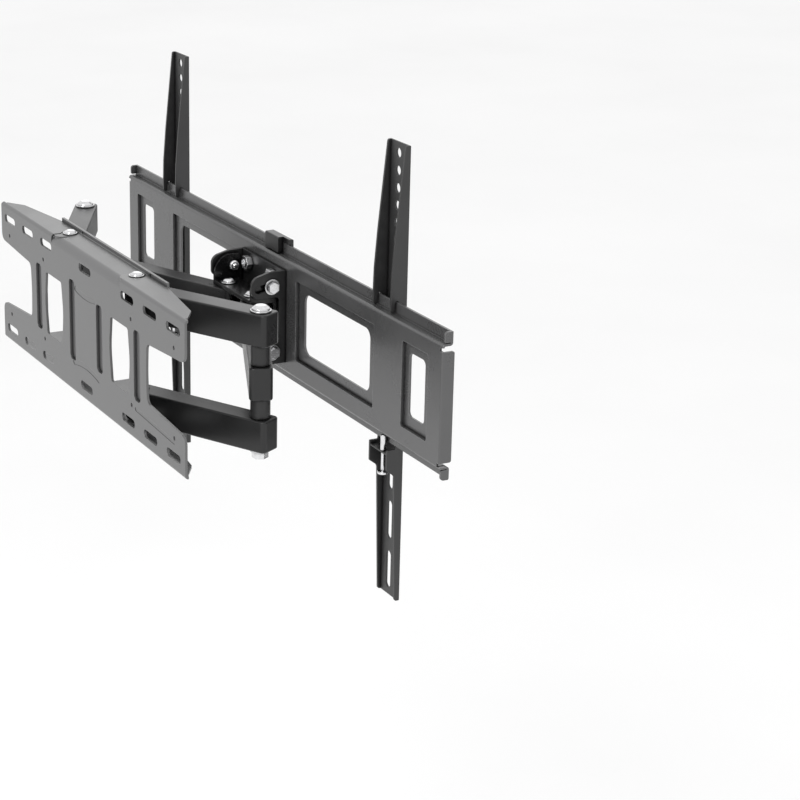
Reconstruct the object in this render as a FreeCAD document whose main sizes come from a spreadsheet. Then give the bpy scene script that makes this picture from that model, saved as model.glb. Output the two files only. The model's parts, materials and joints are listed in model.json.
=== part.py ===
import FreeCAD, Part
import Sketcher
import math
import os
from FreeCAD import Vector as V

# TV wall mount with two folding arms: a slotted wall plate, two first-stage arms
# (twin box sections), two second-stage arms (single box section), a pivot yoke, a
# tilting bracket, a long TV plate and two hooked uprights with the TV's screw holes.
# Frame: origin at the centre of the wall face of the wall plate, +X right,
# +Y from the wall to the TV, +Z up. Millimetres.

os.makedirs("parts", exist_ok=True)
doc = FreeCAD.newDocument("tv_wall_mount")
sheet = doc.addObject("Spreadsheet::Sheet", "dims")
D = {}
TABLE = [
    # wall plate
    ("wall_half_width", 227.5), ("wall_half_height", 72.0), ("wall_sheet", 2.5), ("wall_flange_depth", 28.3),
    ("wall_centre_half", 128.0), ("wall_roll_half", 86.0), ("wall_roll_top", 70.6), ("wall_lip_top", 75.5),
    ("wall_slot_row", 58.0), ("wall_slot_long", 30.0), ("wall_slot_wide", 8.0), ("stud_pitch", 50.8),
    ("wall_window_x", 82.3), ("wall_window_top", 30.0), ("wall_window_low", 32.3), ("wall_window_narrow", 20.3), ("wall_window_bow", 24.5),
    ("tab_level", 32.35), ("tab_sheet", 1.25),
    ("bead_outer_x", 123.0), ("bead_inner_x", 34.0), ("bead_wide", 15.0), ("bead_deep", 3.0),
    # shoulder and arms
    ("shoulder_x", 82.0), ("shoulder_y", 18.3), ("boss_radius", 9.2), ("boss_top", 71.5),
    ("arm_length", 139.0), ("arm_width", 23.0), ("arm_height", 29.6), ("arm_level", 48.8), ("arm_wall", 2.0),
    ("arm_angle", 27.8), ("arm_end", 12.5),
    ("elbow_x", 204.957), ("elbow_y", 83.128),
    ("forearm_length", 196.0), ("forearm_width", 21.0), ("forearm_height", 30.0), ("forearm_angle", 23.42),
    ("forearm_elbow_end", 13.0), ("forearm_head_end", 11.0),
    ("pin_radius", 4.0), ("pin_hole", 4.1), ("open_pivot_hole", 7.4),
    # head
    ("head_x", 25.2), ("head_y", 161.0), ("yoke_half", 39.0), ("ear_sheet", 3.5), ("yoke_top", 19.5),
    ("yoke_plate", 4.0), ("yoke_front", 152.5), ("yoke_back", 180.5), ("ear_top", 44.0),
    ("tilt_y", 173.5), ("tilt_low", 32.9), ("tilt_slot_radius", 65.6), ("tilt_bolt_radius", 3.0),
    ("cheek_inner", 43.2), ("cheek_sheet", 3.5), ("bracket_half", 46.7), ("bracket_back", 187.8), ("bracket_sheet", 3.0),
    # TV plate
    ("tv_front", 187.8), ("tv_sheet", 2.0), ("tv_half_width", 338.0), ("tv_half_height", 57.1), ("tv_low", 55.4),
    ("rail_top", 67.7), ("rail_bottom", 64.9), ("rail_back", 198.0), ("side_flange", 12.0), ("recess", 3.5),
    # uprights
    ("upright_right_x", 226.9), ("upright_left_x", -235.1), ("upright_width", 33.4), ("hole_side", -1.2), ("hole_top", 196.8), ("screw_side", 5.5), ("upright_top", 206.5),
    ("upright_bottom", -218.6), ("upright_back", 206.8), ("upright_sheet", 2.0), ("hole_pitch", 15.6),
    ("screw_radius", 1.85), ("screw_tip_radius", 2.7),
]
for i, (alias, value) in enumerate(TABLE):
    sheet.set("A%d" % (i + 1), alias)
    sheet.set("B%d" % (i + 1), repr(float(value)))
    sheet.setAlias("B%d" % (i + 1), alias)
    D[alias] = float(value)
doc.recompute()


class Q:
    """A length with its value and the sheet expression it comes from."""

    def __init__(self, val, txt, ref):
        self.val, self.txt, self.ref = float(val), txt, ref

    def _mix(self, other, sign, value):
        return Q(value, "(%s %s %s)" % (self.txt, sign, other.txt), self.ref or other.ref)

    def __add__(self, o):
        o = q(o)
        return self._mix(o, "+", self.val + o.val)

    def __sub__(self, o):
        o = q(o)
        return self._mix(o, "-", self.val - o.val)

    def __mul__(self, o):
        o = q(o)
        return self._mix(o, "*", self.val * o.val)

    def __truediv__(self, o):
        o = q(o)
        return self._mix(o, "/", self.val / o.val)

    def __neg__(self):
        return q(-1.0) * self

    __radd__ = __add__

    def __rsub__(self, o):
        return q(o) - self

    __rmul__ = __mul__


def q(v):
    if isinstance(v, Q):
        return v
    return Q(v, "(%.4f)" % v, False)


def d(alias):
    return Q(D[alias], "dims.%s" % alias, True)


def new_body(name):
    b = doc.addObject("PartDesign::Body", name)
    b.Label = name
    return b


def plane_of(body, role):
    for o in body.Origin.OriginFeatures:
        if o.Role == role:
            return o
    raise RuntimeError("no plane " + role)


COUNT = [0]


def new_sketch(body, plane, offset):
    """Sketch on an origin plane of its own body, moved along the plane's normal."""
    COUNT[0] += 1
    sk = body.newObject("Sketcher::SketchObject", "sketch_%03d" % COUNT[0])
    sk.AttachmentSupport = [(plane_of(body, plane), "")]
    sk.MapMode = "FlatFace"
    off = q(offset)
    sk.AttachmentOffset = FreeCAD.Placement(V(0, 0, off.val), FreeCAD.Rotation())
    if off.ref:
        sk.setExpression("AttachmentOffset.Base.z", off.txt)
    return sk


def bind(sk, named):
    for name, quantity in named:
        if quantity.ref:
            sk.setExpression("Constraints." + name, quantity.txt)


def pin_point(sk, geo, pos, x, y, cons, named):
    """Both coordinates of a sketch point, from the sketch's origin."""
    x, y = q(x), q(y)
    for kind, quantity in (("DistanceX", x), ("DistanceY", y)):
        c = Sketcher.Constraint(kind, -1, 1, geo, pos, quantity.val)
        COUNT[0] += 1
        c.Name = "c%d" % COUNT[0]
        cons.append(c)
        named.append((c.Name, quantity))


def radius_of(sk, geo, r, cons, named):
    c = Sketcher.Constraint("Radius", geo, q(r).val)
    COUNT[0] += 1
    c.Name = "c%d" % COUNT[0]
    cons.append(c)
    named.append((c.Name, q(r)))


def outline(sk, corners):
    """Closed outline of straight runs; each corner is (x, y) or (x, y, radius)."""
    pts = [(q(c[0]), q(c[1]), q(c[2]) if len(c) > 2 else q(0.0)) for c in corners]
    n = len(pts)
    xy = [V(p[0].val, p[1].val, 0) for p in pts]
    ends = []
    for i in range(n):
        a, b, c, r = xy[i - 1], xy[i], xy[(i + 1) % n], pts[i][2].val
        if r <= 0:
            ends.append((b, b, None))
            continue
        u, w = (b - a).normalize(), (c - b).normalize()
        turn = math.atan2(u.x * w.y - u.y * w.x, u.dot(w))
        t = r * math.tan(abs(turn) / 2)
        p1, p2 = b - u * t, b + w * t
        side = 1.0 if turn > 0 else -1.0
        centre = p1 + V(-u.y, u.x, 0) * (r * side)
        ends.append((p1, p2, (centre, side, r)))
    base = sk.GeometryCount
    geo, cons, named = [], [], []
    for i in range(n):
        geo.append(Part.LineSegment(ends[i][1], ends[(i + 1) % n][0]))
    extra = {}
    for i in range(n):
        if ends[i][2] is None:
            continue
        centre, side, r = ends[i][2]
        s, e = (ends[i][0], ends[i][1]) if side > 0 else (ends[i][1], ends[i][0])
        a0 = math.atan2(s.y - centre.y, s.x - centre.x)
        a1 = math.atan2(e.y - centre.y, e.x - centre.x)
        if a1 < a0:
            a1 += 2 * math.pi
        extra[i] = base + len(geo)
        geo.append(Part.ArcOfCircle(Part.Circle(centre, V(0, 0, 1), r), a0, a1))
        geo.append(Part.Point(xy[i]))
    sk.addGeometry(geo, False)
    for i in range(n):
        before, after = base + (i - 1) % n, base + i
        if i in extra:
            arc, tip = extra[i], extra[i] + 1
            sk.setConstruction(tip, True)
            first, last = (1, 2) if ends[i][2][1] > 0 else (2, 1)
            cons.append(Sketcher.Constraint("Tangent", before, 2, arc, first))
            cons.append(Sketcher.Constraint("Tangent", after, 1, arc, last))
            cons.append(Sketcher.Constraint("PointOnObject", tip, 1, before))
            cons.append(Sketcher.Constraint("PointOnObject", tip, 1, after))
            pin_point(sk, tip, 1, pts[i][0], pts[i][1], cons, named)
            radius_of(sk, arc, pts[i][2], cons, named)
        else:
            cons.append(Sketcher.Constraint("Coincident", before, 2, after, 1))
            pin_point(sk, after, 1, pts[i][0], pts[i][1], cons, named)
    sk.addConstraint(cons)
    bind(sk, named)


def disc(sk, x, y, r):
    geo = sk.GeometryCount
    cons, named = [], []
    sk.addGeometry([Part.Circle(V(q(x).val, q(y).val, 0), V(0, 0, 1), q(r).val)], False)
    pin_point(sk, geo, 3, x, y, cons, named)
    radius_of(sk, geo, r, cons, named)
    sk.addConstraint(cons)
    bind(sk, named)


def slot(sk, x, y, length, width, upright=False):
    """Slot with round ends; length is over the ends."""
    x, y, length, width = q(x), q(y), q(length), q(width)
    half, r = (length - width) / 2, width / 2
    base = sk.GeometryCount
    hv, rv = half.val, r.val
    cx, cy = x.val, y.val
    hp = math.pi / 2
    if not upright:
        a = (V(cx + hv, cy, 0), -hp, hp)
        b = (V(cx - hv, cy, 0), hp, 3 * hp)
        l1 = (V(cx + hv, cy + rv, 0), V(cx - hv, cy + rv, 0))
        l2 = (V(cx - hv, cy - rv, 0), V(cx + hv, cy - rv, 0))
        ca, cb = (x + half, y), (x - half, y)
    else:
        a = (V(cx, cy + hv, 0), 0, 2 * hp)
        b = (V(cx, cy - hv, 0), 2 * hp, 4 * hp)
        l1 = (V(cx - rv, cy + hv, 0), V(cx - rv, cy - hv, 0))
        l2 = (V(cx + rv, cy - hv, 0), V(cx + rv, cy + hv, 0))
        ca, cb = (x, y + half), (x, y - half)
    sk.addGeometry([
        Part.ArcOfCircle(Part.Circle(a[0], V(0, 0, 1), rv), a[1], a[2]),
        Part.LineSegment(*l1),
        Part.ArcOfCircle(Part.Circle(b[0], V(0, 0, 1), rv), b[1], b[2]),
        Part.LineSegment(*l2)], False)
    cons, named = [], []
    cons.append(Sketcher.Constraint("Tangent", base, 2, base + 1, 1))
    cons.append(Sketcher.Constraint("Tangent", base + 1, 2, base + 2, 1))
    cons.append(Sketcher.Constraint("Tangent", base + 2, 2, base + 3, 1))
    cons.append(Sketcher.Constraint("Tangent", base + 3, 2, base, 1))
    cons.append(Sketcher.Constraint("Equal", base, base + 2))
    pin_point(sk, base, 3, ca[0], ca[1], cons, named)
    pin_point(sk, base + 2, 3, cb[0], cb[1], cons, named)
    radius_of(sk, base, r, cons, named)
    sk.addConstraint(cons)
    bind(sk, named)


def arc_slot(sk, cx, cy, radius, half_width, low, high):
    """Slot bent round a centre; low and high are angles of its end centres, degrees."""
    cx, cy, radius, hw = q(cx), q(cy), q(radius), q(half_width)
    a0, a1 = math.radians(low), math.radians(high)
    c = V(cx.val, cy.val, 0)
    rr, h = radius.val, hw.val
    e0 = c + V(rr * math.cos(a0), rr * math.sin(a0), 0)
    e1 = c + V(rr * math.cos(a1), rr * math.sin(a1), 0)
    base = sk.GeometryCount
    sk.addGeometry([
        Part.ArcOfCircle(Part.Circle(c, V(0, 0, 1), rr + h), a0, a1),
        Part.ArcOfCircle(Part.Circle(e1, V(0, 0, 1), h), a1, a1 + math.pi),
        Part.ArcOfCircle(Part.Circle(c, V(0, 0, 1), rr - h), a0, a1),
        Part.ArcOfCircle(Part.Circle(e0, V(0, 0, 1), h), a0 + math.pi, a0 + 2 * math.pi)], False)
    cons, named = [], []
    cons.append(Sketcher.Constraint("Tangent", base, 2, base + 1, 1))
    cons.append(Sketcher.Constraint("Tangent", base + 1, 2, base + 2, 2))
    cons.append(Sketcher.Constraint("Tangent", base + 2, 1, base + 3, 1))
    cons.append(Sketcher.Constraint("Tangent", base + 3, 2, base, 1))
    pin_point(sk, base, 3, cx, cy, cons, named)
    cons.append(Sketcher.Constraint("Coincident", base, 3, base + 2, 3))
    radius_of(sk, base, radius + hw, cons, named)
    radius_of(sk, base + 2, radius - hw, cons, named)
    for geo, p in ((base + 1, e1), (base + 3, e0)):
        cc = Sketcher.Constraint("DistanceX", -1, 1, geo, 3, p.x)
        cons.append(cc)
    sk.addConstraint(cons)
    bind(sk, named)


NORMAL = {"XY_Plane": 1.0, "XZ_Plane": -1.0, "YZ_Plane": 1.0}


def solid_step(body, kind, plane, lo, hi, draw):
    """Pad or pocket between two levels of the axis across the plane."""
    lo, hi = q(lo), q(hi)
    sign = NORMAL[plane]
    if kind == "Pad":
        start = lo if sign > 0 else -hi
    else:
        start = hi if sign > 0 else -lo
    sk = new_sketch(body, plane, start)
    draw(sk)
    COUNT[0] += 1
    before = body.Shape.Volume if (kind == "Pocket" or body.Tip) and not body.Shape.isNull() else 0.0
    f = body.newObject("PartDesign::" + kind, "%s_%03d" % (kind.lower(), COUNT[0]))
    f.Profile = sk
    f.Length = (hi - lo).val
    if (hi - lo).ref:
        f.setExpression("Length", (hi - lo).txt)
    sk.Visibility = False
    doc.recompute()
    after = body.Shape.Volume
    if kind == "Pocket" and not after < before - 1e-3:
        raise RuntimeError("pocket cuts nothing: %s %s" % (body.Label, f.Name))
    if kind == "Pad" and not after > before + 1e-3:
        raise RuntimeError("pad adds nothing: %s %s" % (body.Label, f.Name))
    return f


def pad(body, plane, lo, hi, draw):
    return solid_step(body, "Pad", plane, lo, hi, draw)


def pocket(body, plane, lo, hi, draw):
    return solid_step(body, "Pocket", plane, lo, hi, draw)


def round_edges(body, test, radius, kind="Fillet"):
    """Fillet or chamfer on the edges of the body's tip that the test accepts."""
    tip = body.Tip
    names = ["Edge%d" % (i + 1) for i, e in enumerate(tip.Shape.Edges) if test(e)]
    if not names:
        raise RuntimeError("no edges to round on " + body.Label)
    COUNT[0] += 1
    f = body.newObject("PartDesign::" + kind, "%s_%03d" % (kind.lower(), COUNT[0]))
    f.Base = (tip, names)
    key = "Radius" if kind == "Fillet" else "Size"
    setattr(f, key, q(radius).val)
    if q(radius).ref:
        f.setExpression(key, q(radius).txt)
    doc.recompute()
    if f.State and ("Invalid" in f.State or "Error" in f.State):
        raise RuntimeError("rounding failed on " + body.Label)
    return f


def along(e, axis, length=None):
    """True for a straight edge along the axis (0, 1 or 2)."""
    if len(e.Vertexes) != 2 or e.Curve.TypeId != "Part::GeomLine":
        return False
    v = e.Vertexes[1].Point - e.Vertexes[0].Point
    other = [abs(v[k]) for k in range(3) if k != axis]
    return max(other) < 1e-4 and (length is None or abs(abs(v[axis]) - length) < 0.05)


def at(e, **want):
    c = e.BoundBox.Center
    return all(abs(getattr(c, k) - w) < 0.3 for k, w in want.items())


def place(body, x=0.0, y=0.0, z=0.0, turn=0.0):
    x, y, z, turn = q(x), q(y), q(z), q(turn)
    body.Placement = FreeCAD.Placement(V(x.val, y.val, z.val), FreeCAD.Rotation(V(0, 0, 1), turn.val))
    for key, quantity in (("x", x), ("y", y), ("z", z)):
        if quantity.ref:
            body.setExpression("Placement.Base." + key, quantity.txt)
    if turn.ref:
        body.setExpression("Placement.Rotation.Angle", turn.txt)


def revolve(body, corners):
    """Turned piece about its own Z axis, from a half section (radius, height)."""
    sk = new_sketch(body, "XZ_Plane", 0.0)
    outline(sk, corners)
    COUNT[0] += 1
    f = body.newObject("PartDesign::Revolution", "turned_%03d" % COUNT[0])
    f.Profile = sk
    f.ReferenceAxis = (sk, ["V_Axis"])
    f.Angle = 360.0
    sk.Visibility = False
    doc.recompute()
    return f


def rect(sk, x0, y0, x1, y1, r=0.0):
    r = q(r)
    outline(sk, [(x0, y0, r), (x1, y0, r), (x1, y1, r), (x0, y1, r)] if r.val > 0 else
            [(x0, y0), (x1, y0), (x1, y1), (x0, y1)])


NODES = []


def node(obj):
    NODES.append(obj)
    return obj


# ---------------------------------------------------------------- wall plate
HW, HH, T = d("wall_half_width"), d("wall_half_height"), d("wall_sheet")
FD, CH = d("wall_flange_depth"), d("wall_centre_half")

wall = new_body("wall_plate")
# folded channel: front sheet and two flanges turned towards the TV
pad(wall, "YZ_Plane", -HW, HW, lambda s: outline(s, [
    (0, -HH, 3.2), (FD, -HH), (FD, T - HH), (T, T - HH, 0.8),
    (T, HH - T, 0.8), (FD, HH - T), (FD, HH), (0, HH, 3.2)]))


def taper(s):
    for k in (1.0, -1.0):
        outline(s, [(k * CH, FD - 0.3), (k * 204.0, 17.0, 4.0), (k * 222.0, 5.4), (k * 222.0, 3.6), (k * (HW + 2.0), 3.6),
                    (k * (HW + 2.0), FD + 1.5), (k * CH, FD + 1.5)])


pocket(wall, "XY_Plane", -HH - 2.0, HH + 2.0, taper)
# between the shoulders the upper fold is a rolled corner; both flanges end in a lip
RT, LT, RX = d("wall_roll_top"), d("wall_lip_top"), d("wall_roll_half")
pocket(wall, "YZ_Plane", -RX, RX, lambda s: rect(s, -1.0, 56.0, FD + 1.0, HH + 1.0))
pad(wall, "YZ_Plane", -RX, RX, lambda s: outline(s, [
    (0, 56.0), (0, RT, 8.0), (27.8, RT + 1.2, 1.2), (27.8, LT), (30.3, LT),
    (30.3, RT - 0.85, 1.2), (T, RT - 2.1, 5.5), (T, 56.0)]))
pad(wall, "YZ_Plane", -CH, CH, lambda s: (
    outline(s, [(27.8, HH - T), (27.8, LT), (30.3, LT), (30.3, HH - T, 1.2)]),
    outline(s, [(27.8, T - HH), (27.8, -LT), (30.3, -LT), (30.3, T - HH, 1.2)])))
# tabs folded in above and below each window carry the inner ends of the shoulder bolts
TL, TB = d("tab_level"), d("tab_sheet")
for k in (1.0, -1.0):
    lo, hi = (TL, TL + TB) if k > 0 else (0.0 - TL - TB, 0.0 - TL)
    pad(wall, "XY_Plane", lo, hi, lambda s: [outline(s, [
        (j * 62.6, 1.0), (j * 102.0, 1.0), (j * 102.0, 16.5, 2.0), (j * 91.0, 26.0, 4.0), (j * 62.6, 26.0, 6.0)]) for j in (1.0, -1.0)])
# bosses round the four shoulder bolts, hollow beneath
SX, SY, BR = d("shoulder_x"), d("shoulder_y"), d("boss_radius")
BT = d("boss_top")
for k in (1.0, -1.0):
    lo, hi = (q(65.0), BT) if k > 0 else (-BT, q(-66.0))
    pad(wall, "XY_Plane", lo, hi, lambda s: (
        slot(s, SX, 14.95, 25.1, BR * 2, True), slot(s, -SX, 14.95, 25.1, BR * 2, True)))
    lo, hi = (q(62.0), BT - 2.5) if k > 0 else (2.5 - BT, q(-62.0))
    pocket(wall, "XY_Plane", lo, hi, lambda s: (disc(s, SX, SY, BR - 2.4), disc(s, -SX, SY, BR - 2.4)))
pocket(wall, "XY_Plane", -HH - 4.0, HH + 4.0, lambda s: (
    disc(s, SX, SY, d("pin_hole")), disc(s, -SX, SY, d("pin_hole"))))
for lo, hi in ((BT, HH + 1.0), (-HH - 1.0, -BT)):
    pocket(wall, "XY_Plane", lo, hi, lambda s: (disc(s, SX, SY, BR - 0.2), disc(s, -SX, SY, BR - 0.2)))
# stiffening beads pressed in from the wall face
BW, BD = d("bead_wide"), d("bead_deep")
BEADS = [(d("bead_outer_x"), 33.5), (-d("bead_outer_x"), 33.5), (d("bead_inner_x"), 33.0), (-d("bead_inner_x"), 40.0)]
for bx, bz in BEADS:
    pad(wall, "XZ_Plane", 0.0, T + BD, lambda s: outline(s, [
        (bx - BW / 2 - 2.2, -bz - 2.2, 7.0), (bx + BW / 2 + 2.2, -bz - 2.2, 7.0),
        (bx + BW / 2 + 2.2, bz + 2.2, 7.0), (bx - BW / 2 - 2.2, bz + 2.2, 7.0)]))
for bx, bz in BEADS:
    pocket(wall, "XZ_Plane", 0.0, BD, lambda s: outline(s, [
        (bx - BW / 2, -bz, 5.0), (bx + BW / 2, -bz, 5.0), (bx + BW / 2, bz, 5.0), (bx - BW / 2, bz, 5.0)]))


def windows(s):
    wx, wt, wn, wb = d("wall_window_x"), d("wall_window_top"), d("wall_window_narrow"), d("wall_window_bow")
    wl = d("wall_window_low")
    for k in (1.0, -1.0):
        c = k * wx
        outline(s, [(c - wn, wt, 3.0), (c - wb, 0, 70.0), (c - wn, -wl, 2.5),
                    (c + wn, -wl, 2.5), (c + wb, 0, 70.0), (c + wn, wt, 3.0)])
        # deep notch in each end, which leaves four wings
        outline(s, [(k * (HW + 8.0), 34.2), (k * 145.0, 27.8, 7.0), (k * 143.2, 0, 150.0),
                    (k * 145.0, -27.8, 7.0), (k * (HW + 8.0), -34.2)])


pocket(wall, "XZ_Plane", -1.0, T + BD + 2.0, windows)
SP, SR = d("stud_pitch"), d("wall_slot_row")


def wall_slots(s):
    for row in (1.0, -1.0):
        for n in (0.0, 2.0, -2.0, 3.0, -3.0, 4.0, -4.0):
            slot(s, n * SP, row * SR, d("wall_slot_long"), d("wall_slot_wide"))


pocket(wall, "XZ_Plane", -1.0, T + 3.0, wall_slots)


def wall_holes(s):
    for k in (1.0, -1.0):
        for r in (1.0, -1.0):
            disc(s, k * 204.8, r * 41.3, 2.1)
            disc(s, k * 109.8, r * 40.6, 2.1)


pocket(wall, "XZ_Plane", -1.0, T + 3.0, wall_holes)
# two shallow arcs between the inner beads and a shallow line along the lower right wing
pocket(wall, "XZ_Plane", -1.0, 0.35, lambda s: arc_slot(s, 0.0, 162.2, 130.7, 2.6, 259.5, 280.5))
pocket(wall, "XZ_Plane", -1.0, 0.35, lambda s: arc_slot(s, 0.0, -175.8, 138.0, 2.6, 77.0, 103.0))
pocket(wall, "XZ_Plane", -1.0, 0.35, lambda s: [outline(s, [
    (k * 118.0, -39.7, 1.5), (k * 118.0, -43.3, 1.5), (k * 206.0, -47.3, 1.5), (k * 206.0, -43.7, 1.5)]) for k in (1.0,)])
pocket(wall, "XZ_Plane", 26.0, 32.0, lambda s: (
    disc(s, -73.0, 73.3, 1.4), disc(s, 91.0, 73.3, 1.4), disc(s, -73.0, -73.3, 1.4), disc(s, 91.0, -73.3, 1.4)))
round_edges(wall, lambda e: along(e, 1) and abs(abs(e.BoundBox.Center.x) - HW.val) < 0.1
            and 32.0 < abs(e.BoundBox.Center.z) < 35.0, 8.0)
node(wall)

# ---------------------------------------------------------------- shoulder hardware
# half section of a bolt with a domed cap: radius, height
PR = d("pin_radius")


def bolt_at(name, x, y, z, flip, low, cap_low, cap_radius, cap_high, washer=1.4):
    """Domed cap on a flat washer flange, shank below it."""
    b = new_body(name)
    revolve(b, [(0, low), (PR, low, 0.5), (PR, cap_low), (cap_radius, cap_low, 0.4), (cap_radius, cap_low + washer, 0.5),
                (cap_radius - 1.2, cap_low + washer), (cap_radius - 1.6, cap_high - (cap_high - cap_low - washer) * 0.62, 0.8),
                (cap_radius * 0.5, cap_high, 3.0), (0, cap_high)])
    place(b, x, y, z)
    if flip:
        b.Placement = FreeCAD.Placement(b.Placement.Base, FreeCAD.Rotation(V(1, 0, 0), 180))
    return b


def hex_nut(name, across_flats, high, bore, z):
    """Hexagon with its washer face, bored for the bolt."""
    b = new_body(name)
    rr = across_flats / math.sqrt(3.0)
    pad(b, "XY_Plane", z, z + high, lambda s: outline(s, [
        (rr * math.cos(math.radians(60 * i)), rr * math.sin(math.radians(60 * i))) for i in range(6)]))
    pocket(b, "XY_Plane", z - 1.0, z + high + 1.0, lambda s: disc(s, 0, 0, bore))
    return b


def group(name, members):
    """Several alike pieces kept as separate solids of one node."""
    doc.recompute()
    g = doc.addObject("Part::Feature", name)
    g.Label = name
    g.Shape = Part.makeCompound([m.copy() for m in members])
    return node(g)


def moved(shape, x=0.0, y=0.0, z=0.0, axis=None, angle=0.0):
    s = shape.copy()
    if axis is not None:
        s.rotate(V(0, 0, 0), V(*axis), angle)
    s.translate(V(q(x).val, q(y).val, q(z).val))
    return s


shoulder_bolt = bolt_at("shoulder_bolt_form", 0, 0, 0, False, 25.2, 71.55, 7.2, 75.2)
shoulder_nut = hex_nut("shoulder_nut_form", 13.0, 5.8, 4.02, 26.5)
spacer = new_body("shoulder_spacer_form")
pad(spacer, "XY_Plane", 63.7, BT - 2.6, lambda s: (disc(s, 0, 0, 6.3), disc(s, 0, 0, 4.05)))
FOUR = [(k, f) for k in (1.0, -1.0) for f in (1.0, -1.0)]


def four(shape):
    out = []
    for k, f in FOUR:
        out.append(moved(shape, k * SX, SY, 0, (1, 0, 0), 180 if f < 0 else 0))
    return out


group("shoulder_bolts", four(shoulder_bolt.Shape))
group("shoulder_nuts", four(shoulder_nut.Shape))
group("shoulder_spacers", four(spacer.Shape))

# ---------------------------------------------------------------- arms
AL, AW, AH = d("arm_length"), d("arm_width"), d("arm_height")
AT, LEVEL = d("arm_wall"), d("arm_level")
ELX, ELY = d("elbow_x"), d("elbow_y")


def first_stage(name, side, level):
    """Box section: round end at the shoulder, closed squared end at the elbow."""
    b = new_body(name)
    e = AL + d("arm_end")
    pad(b, "XY_Plane", -AH / 2, AH / 2, lambda s: outline(s, [
        (-AW / 2, -AW / 2, AW.val / 2 - 0.3), (e, -AW / 2, 4.5), (e, AW / 2, 4.5), (-AW / 2, AW / 2, AW.val / 2 - 0.3)]))
    pocket(b, "YZ_Plane", -AW, e - AT, lambda s: rect(
        s, AT - AW / 2, AT - AH / 2, AW / 2 - AT, AH / 2 - AT, 1.2))
    pocket(b, "XY_Plane", -AH, AH, lambda s: (disc(s, 0, 0, d("pin_hole")), disc(s, AL, 0, d("pin_hole"))))
    round_edges(b, lambda ed: along(ed, 0) and abs(abs(ed.BoundBox.Center.y) - AW.val / 2) < 0.05
                and abs(abs(ed.BoundBox.Center.z) - AH.val / 2) < 0.05, 1.6)
    turn = d("arm_angle") if side > 0 else 180.0 - d("arm_angle")
    place(b, side * SX, SY, level, turn)
    return node(b)


first_stage("right_arm_upper_box", 1.0, LEVEL)
first_stage("right_arm_lower_box", 1.0, -LEVEL)
first_stage("left_arm_upper_box", -1.0, LEVEL)
first_stage("left_arm_lower_box", -1.0, -LEVEL)

FL, FW, FH = d("forearm_length"), d("forearm_width"), d("forearm_height")


def second_stage(name, side, head_hole):
    b = new_body(name)
    lo, hi = -d("forearm_elbow_end"), FL + d("forearm_head_end")
    pad(b, "XY_Plane", -FH / 2, FH / 2, lambda s: outline(s, [
        (lo, -FW / 2, 4.5), (hi, -FW / 2, 7.5), (hi, FW / 2, 7.5), (lo, FW / 2, 4.5)]))
    pocket(b, "YZ_Plane", lo + AT, hi + 1.0, lambda s: rect(
        s, AT - FW / 2, AT - FH / 2, FW / 2 - AT, FH / 2 - AT, 1.2))
    pocket(b, "XY_Plane", -FH, FH, lambda s: (disc(s, 0, 0, d("pin_hole")), disc(s, FL, 0, head_hole)))
    round_edges(b, lambda ed: along(ed, 0) and abs(abs(ed.BoundBox.Center.y) - FW.val / 2) < 0.05
                and abs(abs(ed.BoundBox.Center.z) - FH.val / 2) < 0.05, 1.6)
    turn = 180.0 - d("forearm_angle") if side > 0 else d("forearm_angle")
    place(b, side * ELX, ELY, 0.0, turn)
    return node(b)


second_stage("right_forearm", 1.0, d("pin_hole"))
# the left one has a wide hole, because the linkage is opened at that pivot
second_stage("left_forearm", -1.0, d("open_pivot_hole"))

for side, word in ((1.0, "right"), (-1.0, "left")):
    bush = new_body(word + "_elbow_bush_form")
    pad(bush, "XY_Plane", FH / 2 + 0.2, LEVEL - AH / 2, lambda s: (disc(s, 0, 0, 9.0), disc(s, 0, 0, 4.05)))
    up = bush.Shape
    group(word + "_elbow_bushes", [moved(up, side * ELX, ELY, 0, (1, 0, 0), 180 if f else 0) for f in (0, 1)])
    b = bolt_at(word + "_elbow_bolt", side * ELX, ELY, 0.0, False, -72.4, 63.65, 9.5, 69.4, 1.8)
    node(b)
    w = new_body(word + "_elbow_washer")
    pad(w, "XY_Plane", -65.3, -63.65, lambda s: (disc(s, 0, 0, 9.2), disc(s, 0, 0, 4.05)))
    place(w, side * ELX, ELY, 0.0)
    node(w)
    n = hex_nut(word + "_elbow_nut", 13.0, 6.3, 4.02, -71.65)
    place(n, side * ELX, ELY, 0.0)
    node(n)

# ---------------------------------------------------------------- head yoke
HX, HY, YH, ES = d("head_x"), d("head_y"), d("yoke_half"), d("ear_sheet")
YT, YP, YF, YB = d("yoke_top"), d("yoke_plate"), d("yoke_front"), d("yoke_back")
TY, TL, TR, TB = d("tilt_y"), d("tilt_low"), d("tilt_slot_radius"), d("tilt_bolt_radius")
ET = d("ear_top")
LOCK_ANGLE = math.radians(90.9)
LY, LZ = TY + TR * math.cos(LOCK_ANGLE), TR * math.sin(LOCK_ANGLE) - TL

yoke = new_body("pivot_yoke")
pad(yoke, "YZ_Plane", -YH, YH, lambda s: outline(s, [
    (YF, YT - YP), (YF, YT), (YB, YT, 3.2), (YB, -YT, 3.2), (YF, -YT), (YF, YP - YT),
    (YB - 3.0, YP - YT, 1.0), (YB - 3.0, YT - YP, 1.0)]))
for k in (1.0, -1.0):
    lo, hi = (YH, YH + ES) if k > 0 else (-YH - ES, -YH)
    pad(yoke, "YZ_Plane", lo, hi, lambda s: outline(s, [
        (YF, YT - YP), (YF, ET, 17.0), (YB, ET, 2.5), (YB, -ET, 2.5), (YF, -ET, 17.0), (YF, YP - YT),
        (YB - 4.0, YP - YT, 2.0), (YB - 4.0, YT - YP, 2.0)]))
pocket(yoke, "XY_Plane", -YT - 2.0, YT + 2.0, lambda s: (
    disc(s, HX, HY, d("pin_hole")), disc(s, -HX, HY, d("pin_hole"))))
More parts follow.
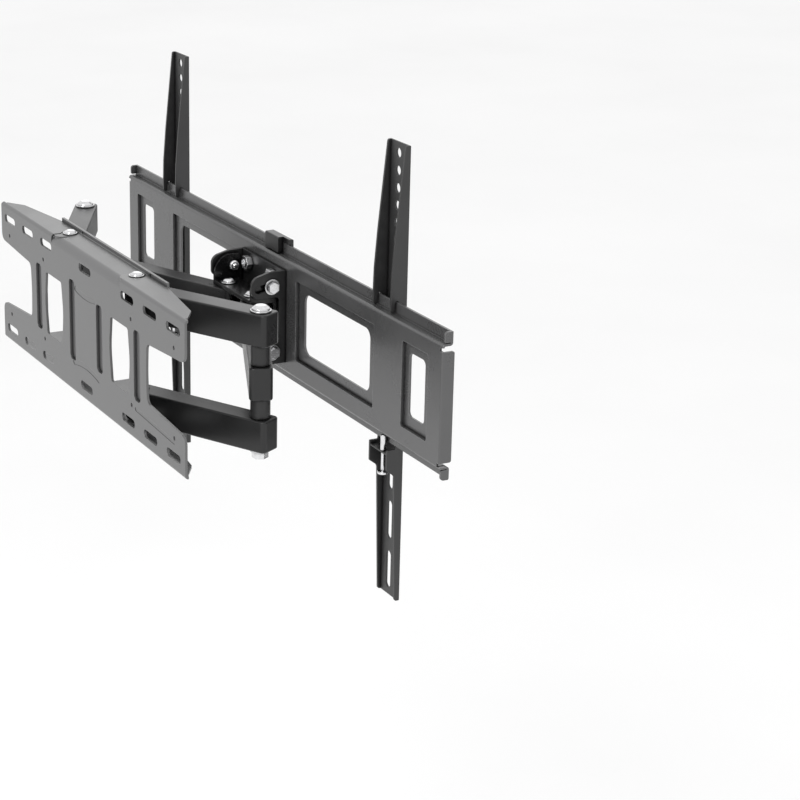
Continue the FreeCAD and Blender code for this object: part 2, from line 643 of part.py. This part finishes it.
pocket(yoke, "YZ_Plane", -YH - ES - 1.0, YH + ES + 1.0, lambda s: (
    disc(s, TY, -TL, TB + 0.1), disc(s, LY, LZ, TB + 0.1)))
node(yoke)

head_bolt = bolt_at("head_bolt_form", 0, 0, 0, False, -27.0, 19.55, 7.2, 24.2)
head_nut = hex_nut("head_nut_form", 13.0, 6.0, 4.02, -25.6)
group("head_pivot_bolts", [moved(head_bolt.Shape, k * HX, HY, 0) for k in (1.0, -1.0)])
group("head_pivot_nuts", [moved(head_nut.Shape, k * HX, HY, 0) for k in (1.0, -1.0)])

# tilt bolts run along X through the ears and the bracket's cheeks
tilt_bolt = new_body("tilt_bolt_form")
rr = 10.0 / math.sqrt(3.0)
revolve(tilt_bolt, [(0, 32.6), (1.7, 32.6, 0.6), (TB, 33.9, 0.8), (TB, 48.0), (0, 48.0)])
pad(tilt_bolt, "XY_Plane", 47.95, 52.4, lambda s: outline(s, [
    (rr * math.cos(math.radians(60 * i)), rr * math.sin(math.radians(60 * i))) for i in range(6)]))
tilt_washer = new_body("tilt_washer_form")
pad(tilt_washer, "XY_Plane", 46.85, 47.9, lambda s: (disc(s, 0, 0, 7.7), disc(s, 0, 0, TB + 0.05)))
tilt_nut = new_body("tilt_nut_form")
revolve(tilt_nut, [(3.04, 34.0), (4.4, 34.0, 1.0), (5.4, 36.0, 1.5), (5.4, 38.95), (3.04, 38.95)])


def sideways(shape, k, y, z):
    return moved(shape, 0, y, z, (0, 1, 0), 90.0 * k)


group("tilt_lock_bolts", [sideways(tilt_bolt.Shape, k, LY, LZ) for k in (1.0, -1.0)])
group("tilt_pivot_bolts", [sideways(tilt_bolt.Shape, k, TY, -TL) for k in (1.0, -1.0)])
group("tilt_washers", [sideways(tilt_washer.Shape, k, y, z) for k in (1.0, -1.0) for y, z in ((LY, LZ), (TY, -TL))])
group("tilt_nuts", [sideways(tilt_nut.Shape, k, y, z) for k in (1.0, -1.0) for y, z in ((LY, LZ), (TY, -TL))])

# ---------------------------------------------------------------- tilt bracket
CI, CS, BH, BB, BS = d("cheek_inner"), d("cheek_sheet"), d("bracket_half"), d("bracket_back"), d("bracket_sheet")
tilt = new_body("tilt_bracket")
pad(tilt, "XZ_Plane", BB - BS, BB, lambda s: rect(s, -BH, -45.0, BH, 47.0))
for k in (1.0, -1.0):
    lo, hi = (CI, CI + CS) if k > 0 else (-CI - CS, -CI)
    pad(tilt, "YZ_Plane", lo, hi, lambda s: outline(s, [
        (BB - 1.0, 47.0), (170.0, 47.0, 16.0), (151.5, 42.0, 9.0), (151.5, 22.0, 6.5), (180.3, 22.0, 4.0),
        (180.3, -22.0, 4.0), (151.5, -22.0, 6.5), (151.5, -40.0, 9.0), (170.0, -45.0, 16.0), (BB - 1.0, -45.0)]))
pocket(tilt, "YZ_Plane", -CI - CS - 1.0, CI + CS + 1.0, lambda s: (
    disc(s, TY, -TL, TB + 0.1), arc_slot(s, TY, -TL, TR, 3.8, 88.6, 103.4)))
BXZ = [(26.0, 37.0), (-26.0, 37.0), (26.0, -37.0), (-26.0, -37.0)]
pocket(tilt, "XZ_Plane", BB - BS - 1.0, BB + 1.0, lambda s: [disc(s, x, z, 4.1) for x, z in BXZ])
node(tilt)

# ---------------------------------------------------------------- TV plate
F, TS, TW, TH = d("tv_front"), d("tv_sheet"), d("tv_half_width"), d("tv_half_height")
RTOP, RB, SF, RC = d("rail_top"), d("rail_back"), d("side_flange"), d("recess")
RLOW, TLOW = d("rail_bottom"), d("tv_low")
tv = new_body("tv_plate")
pad(tv, "YZ_Plane", -TW, TW, lambda s: outline(s, [
    (F, -TLOW, 3.0), (RB - TS, -TLOW, 0.8), (RB - TS, -RLOW), (RB, -RLOW), (RB, TS - TLOW, 2.8), (F + TS, TS - TLOW, 1.0),
    (F + TS, TH - TS, 1.0), (RB, TH - TS, 2.8), (RB, RTOP), (RB - TS, RTOP), (RB - TS, TH, 0.8), (F, TH, 3.0)]))
for k in (1.0, -1.0):
    lo, hi = (TW - TS, TW) if k > 0 else (-TW, TS - TW)
    pad(tv, "YZ_Plane", lo, hi, lambda s: outline(s, [
        (F + 0.5, -50.0), (F + SF, -50.0, 2.0), (F + SF, 50.0, 2.0), (F + 0.5, 50.0)]))
    # rail ends turned towards the wall as stops
    lo, hi = (TW - TS, TW) if k > 0 else (-TW, TS - TW)
    pad(tv, "YZ_Plane", lo, hi, lambda s: (
        outline(s, [(189.8, 58.3, 1.5), (RB - 0.5, 58.3), (RB - 0.5, RTOP), (189.8, RTOP, 3.0)]),
        outline(s, [(189.8, -56.4, 1.5), (RB - 0.5, -56.4), (RB - 0.5, -RLOW - 0.8), (189.8, -RLOW - 0.8, 3.0)])))


def corner_gaps(s):
    for k in (1.0, -1.0):
        for r in (1.0, -1.0):
            rect(s, k * (TW - 4.5), r * 50.3, k * (TW + 2.0), r * 53.8)


pocket(tv, "XZ_Plane", F - 2.0, F + 8.0, corner_gaps)


def recesses(grow, r):
    def draw(s):
        for k in (1.0, -1.0):
            for x0, x1 in ((66.5, 219.5), (270.0, 314.7)):
                outline(s, [(k * (x0 - grow), -37.0 - grow, r), (k * (x1 + grow), -37.0 - grow, r),
                            (k * (x1 + grow), 41.6 + grow, r), (k * (x0 - grow), 41.6 + grow, r)])
    return draw


pad(tv, "XZ_Plane", F + TS - 0.5, F + TS + RC, recesses(2.0, 4.0))
pocket(tv, "XZ_Plane", F - 1.0, F + RC, recesses(0.0, 2.2))


def tv_windows(s):
    for k in (1.0, -1.0):
        for x0, x1, z0, z1, r in ((79.0, 207.0, -27.0, 32.5, 9.0), (278.0, 305.0, -26.0, 32.5, 5.0)):
            outline(s, [(k * x0, z0, r), (k * x1, z0, r), (k * x1, z1, r), (k * x0, z1, r)])


pocket(tv, "XZ_Plane", F, F + TS + RC + 2.0, tv_windows)
pocket(tv, "XZ_Plane", F - 1.0, F + TS + 2.0, lambda s: [disc(s, x, z, 4.1) for x, z in BXZ])
round_edges(tv, lambda e: along(e, 2) and abs(abs(e.BoundBox.Center.x) - TW.val) < 0.05
            and abs(e.BoundBox.Center.y - F.val) < 0.05 and e.Length > 60.0, 1.8)
node(tv)

bracket_bolt = new_body("bracket_bolt_form")
revolve(bracket_bolt, [(0, 176.9), (4.0, 176.9, 0.7), (4.0, 189.85), (6.8, 189.85), (6.8, 190.6, 0.3),
                       (3.6, 192.3, 3.0), (0, 192.3)])
bracket_nut = hex_nut("bracket_nut_form", 13.0, 6.5, 4.02, 178.25)
group("bracket_bolts", [moved(bracket_bolt.Shape, x, 0, z, (1, 0, 0), -90) for x, z in BXZ])
group("bracket_nuts", [moved(bracket_nut.Shape, x, 0, z, (1, 0, 0), -90) for x, z in BXZ])

clip = new_body("centre_clip")
pad(clip, "YZ_Plane", -5.0, 36.0, lambda s: outline(s, [
    (190.5, 58.2), (RB - TS - 0.05, 58.2), (RB - TS - 0.05, RTOP + 0.1), (RB + 0.05, RTOP + 0.1), (RB + 0.05, 59.0),
    (RB + 2.6, 59.0), (RB + 2.6, 73.6, 1.5), (190.5, 73.6, 1.5)]))
pocket(clip, "XZ_Plane", 189.0, RB - TS, lambda s: rect(s, 23.0, 57.0, 37.0, 75.0))
node(clip)

# ---------------------------------------------------------------- uprights
UW, UT, UB, UY, US = d("upright_width"), d("upright_top"), d("upright_bottom"), d("upright_back"), d("upright_sheet")
HP = d("hole_pitch")
SCREW_Y = 192.9


def upright(name, x):
    """Channel with its web on the TV side, hooked over the upper rail and caught under the lower one."""
    b = new_body(name)
    pad(b, "YZ_Plane", -UW / 2, UW / 2, lambda s: outline(s, [
        (UY, UT, 0.8), (UY - 4.7, UT, 2.0), (UY - 12.7, 127.0, 60.0), (UY - 15.5, 92.0, 60.0), (190.8, 72.0, 8.0),
        (190.8, 58.2, 2.0), (194.8, 58.2, 1.2), (195.7, RTOP + 0.7, 0.9), (198.3, RTOP + 0.7, 0.9), (199.2, 57.0, 1.5),
        (200.6, 50.0, 1.5), (200.6, -50.0, 1.5), (198.9, -56.5, 1.5), (198.9, -70.2, 1.0), (190.3, -70.2, 1.0),
        (190.3, -89.5, 2.0), (UY - 8.5, -95.5, 5.0), (UY - 4.9, UB, 2.0), (UY, UB, 0.8)]))
    pocket(b, "YZ_Plane", US - UW / 2, UW / 2 - US, lambda s: rect(s, 180.0, UB - 5.0, UY - US, UT + 5.0))
    pad(b, "YZ_Plane", 0.5 - UW / 2, UW / 2 - 0.5, lambda s: rect(s, 190.5, -75.0, 197.6, -73.4))

    def holes(s):
        for i in range(8):
            disc(s, d("hole_side"), d("hole_top") - HP * float(i), 4.4)
        for z, long in ((-106.0, 18.2), (-145.0, 37.0), (-193.9, 36.4)):
            slot(s, d("hole_side"), z, long, 8.4, True)

    pocket(b, "XZ_Plane", UY - US - 1.0, UY + 1.0, holes)
    pocket(b, "XY_Plane", -77.0, -70.0, lambda s: disc(s, d("screw_side"), SCREW_Y, d("screw_radius") + 0.1))
    place(b, x, 0.0, 0.0)
    return node(b)


upright("right_upright", d("upright_right_x"))
upright("left_upright", d("upright_left_x"))
for word, x in (("right", d("upright_right_x")), ("left", d("upright_left_x"))):
    b = new_body(word + "_safety_screw")
    r = d("screw_radius")
    tip = d("screw_tip_radius")
    revolve(b, [(0, -95.6), (5.0, -95.6, 0.6), (5.0, -93.2, 0.8), (r, -92.6), (r, -73.1), (tip, -72.7), (tip, -58.4, 0.9),
                (0, -58.4)])
    place(b, x + d("screw_side"), SCREW_Y, 0.0)
    node(b)

# ---------------------------------------------------------------- check and write
doc.recompute()
for o in doc.Objects:
    if "Invalid" in o.State or "Error" in o.State:
        raise RuntimeError("%s failed: %s" % (o.Label, o.State))
for n in NODES:
    s = n.Shape
    if s.isNull() or not s.isValid() or not s.Solids:
        raise RuntimeError("bad shape: " + n.Label)
    bb = s.BoundBox
    print("%-24s solids %d volume %9.1f  x %.1f..%.1f y %.1f..%.1f z %.1f..%.1f" % (
        n.Label, len(s.Solids), s.Volume, bb.XMin, bb.XMax, bb.YMin, bb.YMax, bb.ZMin, bb.ZMax))
    s.exportStep(os.path.join("parts", n.Label + ".step"))
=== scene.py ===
import json
import math

import bpy
from mathutils import Matrix, Vector

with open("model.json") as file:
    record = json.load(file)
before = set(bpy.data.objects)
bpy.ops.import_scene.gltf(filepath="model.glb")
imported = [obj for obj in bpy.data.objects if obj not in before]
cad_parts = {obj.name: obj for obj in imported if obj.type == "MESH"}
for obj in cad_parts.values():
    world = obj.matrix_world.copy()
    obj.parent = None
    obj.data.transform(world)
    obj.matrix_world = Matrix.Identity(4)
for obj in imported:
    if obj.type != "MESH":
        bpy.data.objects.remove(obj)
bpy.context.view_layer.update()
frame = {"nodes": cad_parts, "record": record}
N = frame["nodes"]
scene = bpy.context.scene


# ------------------------------------------------------------------ materials
def nodes_of(name):
    m = bpy.data.materials.new(name)
    m.use_nodes = True
    t = m.node_tree
    t.nodes.clear()
    out = t.nodes.new("ShaderNodeOutputMaterial")
    b = t.nodes.new("ShaderNodeBsdfPrincipled")
    t.links.new(b.outputs["BSDF"], out.inputs["Surface"])
    return m, t, b


def noise(t, coord, scale, detail=4.0, rough=0.55, stretch=None):
    src = coord
    if stretch:
        mp = t.nodes.new("ShaderNodeMapping")
        mp.inputs["Scale"].default_value = stretch
        t.links.new(coord, mp.inputs["Vector"])
        src = mp.outputs["Vector"]
    n = t.nodes.new("ShaderNodeTexNoise")
    n.inputs["Scale"].default_value = scale
    n.inputs["Detail"].default_value = detail
    n.inputs["Roughness"].default_value = rough
    t.links.new(src, n.inputs["Vector"])
    return n.outputs["Fac"]


def ramp(t, fac, lo, hi, a=0.0, b=1.0):
    r = t.nodes.new("ShaderNodeMapRange")
    r.inputs["From Min"].default_value = lo
    r.inputs["From Max"].default_value = hi
    r.inputs["To Min"].default_value = a
    r.inputs["To Max"].default_value = b
    t.links.new(fac, r.inputs["Value"])
    return r.outputs["Result"]


def mix(t, fac, a, b):
    m = t.nodes.new("ShaderNodeMix")
    m.data_type = "RGBA"
    for socket, v in ((m.inputs[6], a), (m.inputs[7], b)):
        if isinstance(v, tuple):
            socket.default_value = (*v, 1.0)
        else:
            t.links.new(v, socket)
    if isinstance(fac, float):
        m.inputs[0].default_value = fac
    else:
        t.links.new(fac, m.inputs[0])
    return m.outputs[2]


def math_node(t, op, a, b=None):
    m = t.nodes.new("ShaderNodeMath")
    m.operation = op
    for i, v in enumerate((a, b)):
        if v is None:
            continue
        if isinstance(v, (int, float)):
            m.inputs[i].default_value = v
        else:
            t.links.new(v, m.inputs[i])
    return m.outputs[0]


def edge_mask(t, radius):
    """1 on convex and concave edges within the radius, 0 on flats."""
    bev = t.nodes.new("ShaderNodeBevel")
    bev.samples = 6
    bev.inputs["Radius"].default_value = radius
    g = t.nodes.new("ShaderNodeNewGeometry")
    d = t.nodes.new("ShaderNodeVectorMath")
    d.operation = "DOT_PRODUCT"
    t.links.new(bev.outputs["Normal"], d.inputs[0])
    t.links.new(g.outputs["Normal"], d.inputs[1])
    return ramp(t, d.outputs["Value"], 0.98, 0.86), bev.outputs["Normal"]


def coat(name, dark, light, rough, metallic=0.0, grain=0.00002, bevel=0.0007, edge_wear_highlight_tone=(0.30, 0.30, 0.30), edge_wear_highlight_amount=0.35,
         spec=0.5, painted_shade_reach=0.0035):
    """Powder coat: fine orange peel, soft cloudiness in the tone, paler rubbed edges that also carry a painted edge
    highlight, painted shade in recesses and creases.
    """
    m, t, b = nodes_of(name)
    tc = t.nodes.new("ShaderNodeTexCoord").outputs["Object"]
    cloud = noise(t, tc, 14.0, 5.0)
    fine = noise(t, tc, 2600.0, 2.0)
    speck = noise(t, tc, 900.0, 3.0, 0.7)
    base = mix(t, ramp(t, cloud, 0.35, 0.65), dark, light)
    base = mix(t, ramp(t, speck, 0.62, 0.74, 0.0, 0.10), base, tuple(min(1.0, c * 1.5) for c in light))
    # Rubbed edges and a painted edge highlight: edges within the bevel radius are mixed toward the paler edge tone.
    mask, rounded = edge_mask(t, bevel)
    broken = ramp(t, noise(t, tc, 160.0, 4.0, 0.7), 0.3, 0.75, 0.35, 1.0)
    edge_wear_and_highlight = math_node(t, "MULTIPLY", math_node(t, "MULTIPLY", mask, broken), edge_wear_highlight_amount)
    base = mix(t, edge_wear_and_highlight, base, edge_wear_highlight_tone)
    # Painted shade: ambient occlusion darkens recesses, creases and gaps between parts toward a near-black tone, and
    # dims their specular.
    ao = t.nodes.new("ShaderNodeAmbientOcclusion")
    ao.samples = 8
    ao.inputs["Distance"].default_value = painted_shade_reach
    painted_shade = ramp(t, ao.outputs["AO"], 0.50, 0.90, 0.9, 0.0)
    base = mix(t, painted_shade, base, tuple(c * 0.15 for c in dark))
    t.links.new(base, b.inputs["Base Color"])
    r = math_node(t, "ADD", ramp(t, cloud, 0.3, 0.7, -0.04, 0.05), ramp(t, speck, 0.3, 0.7, rough - 0.02, rough + 0.03))
    t.links.new(r, b.inputs["Roughness"])
    b.inputs["Metallic"].default_value = metallic
    t.links.new(math_node(t, "MULTIPLY", math_node(t, "SUBTRACT", 1.0, painted_shade), spec), b.inputs["Specular IOR Level"])
    bump = t.nodes.new("ShaderNodeBump")
    bump.inputs["Strength"].default_value = 0.35
    bump.inputs["Distance"].default_value = grain
    t.links.new(fine, bump.inputs["Height"])
    t.links.new(rounded, bump.inputs["Normal"])
    t.links.new(bump.outputs["Normal"], b.inputs["Normal"])
    return m


def plated(name, tone=(0.80, 0.80, 0.81), rough=0.2):
    """Bright zinc plating: faint turning marks, cloudy tone, painted highlight on the edges, painted shade in the
    corners.
    """
    m, t, b = nodes_of(name)
    tc = t.nodes.new("ShaderNodeTexCoord").outputs["Object"]
    cloud = noise(t, tc, 220.0, 4.0)
    lines = noise(t, tc, 90.0, 3.0, 0.6, (1.0, 1.0, 40.0))
    base = mix(t, ramp(t, cloud, 0.3, 0.7), tuple(c * 0.82 for c in tone), tone)
    # Painted edge highlight: edges mixed toward a pale tone.
    mask, rounded = edge_mask(t, 0.0005)
    base = mix(t, math_node(t, "MULTIPLY", mask, 0.4), base, (0.92, 0.92, 0.92))
    # Painted shade: ambient occlusion darkens corners and crevices almost to black.
    ao = t.nodes.new("ShaderNodeAmbientOcclusion")
    ao.samples = 8
    ao.inputs["Distance"].default_value = 0.003
    base = mix(t, ramp(t, ao.outputs["AO"], 0.5, 0.95, 0.85, 0.0), base, (0.03, 0.03, 0.03))
    t.links.new(base, b.inputs["Base Color"])
    t.links.new(ramp(t, lines, 0.3, 0.7, rough - 0.05, rough + 0.08), b.inputs["Roughness"])
    b.inputs["Metallic"].default_value = 1.0
    bump = t.nodes.new("ShaderNodeBump")
    bump.inputs["Strength"].default_value = 0.25
    bump.inputs["Distance"].default_value = 0.00003
    t.links.new(lines, bump.inputs["Height"])
    t.links.new(rounded, bump.inputs["Normal"])
    t.links.new(bump.outputs["Normal"], b.inputs["Normal"])
    return m


# The wear tone and amount set the rubbed edges together with their painted edge highlight.
GREY = coat("grey_powder_coat", (0.140, 0.140, 0.141), (0.154, 0.154, 0.155), 0.32, metallic=0.35,
            edge_wear_highlight_tone=(0.45, 0.45, 0.45), edge_wear_highlight_amount=0.45)
GREY_TV = coat("grey_powder_coat_tv", (0.108, 0.108, 0.109), (0.120, 0.120, 0.121), 0.28, metallic=0.45,
               edge_wear_highlight_tone=(0.45, 0.45, 0.45), edge_wear_highlight_amount=0.7)
BLACK = coat("black_powder_coat", (0.0085, 0.0085, 0.0088), (0.0115, 0.0115, 0.0118), 0.30,
             edge_wear_highlight_tone=(0.10, 0.10, 0.10), edge_wear_highlight_amount=0.4)
HEAD = coat("black_gloss_coat", (0.0040, 0.0040, 0.0042), (0.0058, 0.0058, 0.0060), 0.24,
            edge_wear_highlight_tone=(0.14, 0.14, 0.14), edge_wear_highlight_amount=0.45, bevel=0.0005)
BRACKET = coat("bracket_coat", (0.0120, 0.0120, 0.0123), (0.0170, 0.0170, 0.0173), 0.36,
               edge_wear_highlight_tone=(0.14, 0.14, 0.14), edge_wear_highlight_amount=0.45, bevel=0.0005)
UPRIGHT = coat("upright_coat", (0.024, 0.024, 0.0243), (0.032, 0.032, 0.0323), 0.42,
               edge_wear_highlight_tone=(0.13, 0.13, 0.13), edge_wear_highlight_amount=0.4)
BUSH = coat("bush_plastic", (0.012, 0.012, 0.0123), (0.017, 0.017, 0.0173), 0.36, edge_wear_highlight_tone=(0.05, 0.05, 0.05), edge_wear_highlight_amount=0.3)
ZINC = plated("zinc_plating")

LOOK = {"plate_grey": GREY, "arm_black": BLACK, "zinc": ZINC, "bush_black": BUSH}
slot_of = {s["node"]: s["material_slot"] for s in frame["record"]["subparts"]}
for name, obj in N.items():
    mat = LOOK[slot_of[name]]
    if name == "tv_plate":
        mat = GREY_TV
    if name.endswith("upright"):
        mat = UPRIGHT
    if name == "pivot_yoke":
        mat = HEAD
    if name == "tilt_bracket":
        mat = BRACKET
    obj.data.materials.clear()
    obj.data.materials.append(mat)
    for p in obj.data.polygons:
        p.material_index = 0

# ------------------------------------------------------------------ stage, light, camera
m, t, b = nodes_of("studio_floor")
tc = t.nodes.new("ShaderNodeTexCoord").outputs["Object"]
t.links.new(mix(t, ramp(t, noise(t, tc, 1.2, 3.0), 0.3, 0.7), (0.93, 0.93, 0.93), (0.96, 0.96, 0.96)), b.inputs["Base Color"])
b.inputs["Roughness"].default_value = 0.9
me = bpy.data.meshes.new("floor")
S = 14.0
me.from_pydata([(-S, -S, 0), (S, -S, 0), (S, S, 0), (-S, S, 0)], [], [(0, 1, 2, 3)])
floor = bpy.data.objects.new("floor", me)
floor.location = (0, 0, -1.1)
scene.collection.objects.link(floor)
me.materials.append(m)

world = bpy.data.worlds.new("studio")
scene.world = world
world.use_nodes = True
bg = world.node_tree.nodes["Background"]
bg.inputs["Color"].default_value = (1.0, 1.0, 1.0, 1.0)
bg.inputs["Strength"].default_value = 0.98


def soft_light(name, at, look, size, power):
    l = bpy.data.lights.new(name, "AREA")
    l.shape = "RECTANGLE"
    l.size, l.size_y = size
    l.energy = power
    o = bpy.data.objects.new(name, l)
    o.location = at
    o.rotation_euler = (Vector(look) - Vector(at)).to_track_quat("-Z", "Y").to_euler()
    scene.collection.objects.link(o)


soft_light("key", (1.6, -2.2, 2.6), (0, 0.1, 0), (1.6, 1.2), 42.0)
soft_light("back", (-1.45, 0.85, 0.80), (0.1, 0.05, 0.05), (0.9, 0.9), 1.4)

# camera fitted to the photograph's view
AZ, EL = 1.1317545922582477, 0.3210372618536052
LENS = 2240.94 / 800.0 * 36.0
cam = bpy.data.cameras.new("camera")
cam.sensor_fit = "HORIZONTAL"
cam.sensor_width = 36.0
cam.lens = LENS
cam.shift_x = (400.0 - 222.757) / 800.0
cam.shift_y = (369.785 - 400.0) / 800.0
cam.clip_end = 60.0
co = bpy.data.objects.new("camera", cam)
scene.collection.objects.link(co)
fwd = Vector((-math.sin(AZ) * math.cos(EL), math.cos(AZ) * math.cos(EL), -math.sin(EL)))
right = Vector((math.cos(AZ), math.sin(AZ), 0.0))
up = right.cross(fwd)
K = 1.016 / 1000.0
place = Vector((1849.6796 * K, -728.1221 * K, 620.2598 * K))
rot = Matrix((right, up, -fwd)).transposed()
co.matrix_world = Matrix.Translation(place) @ rot.to_4x4()
scene.camera = co
scene.view_settings.view_transform = "Standard"
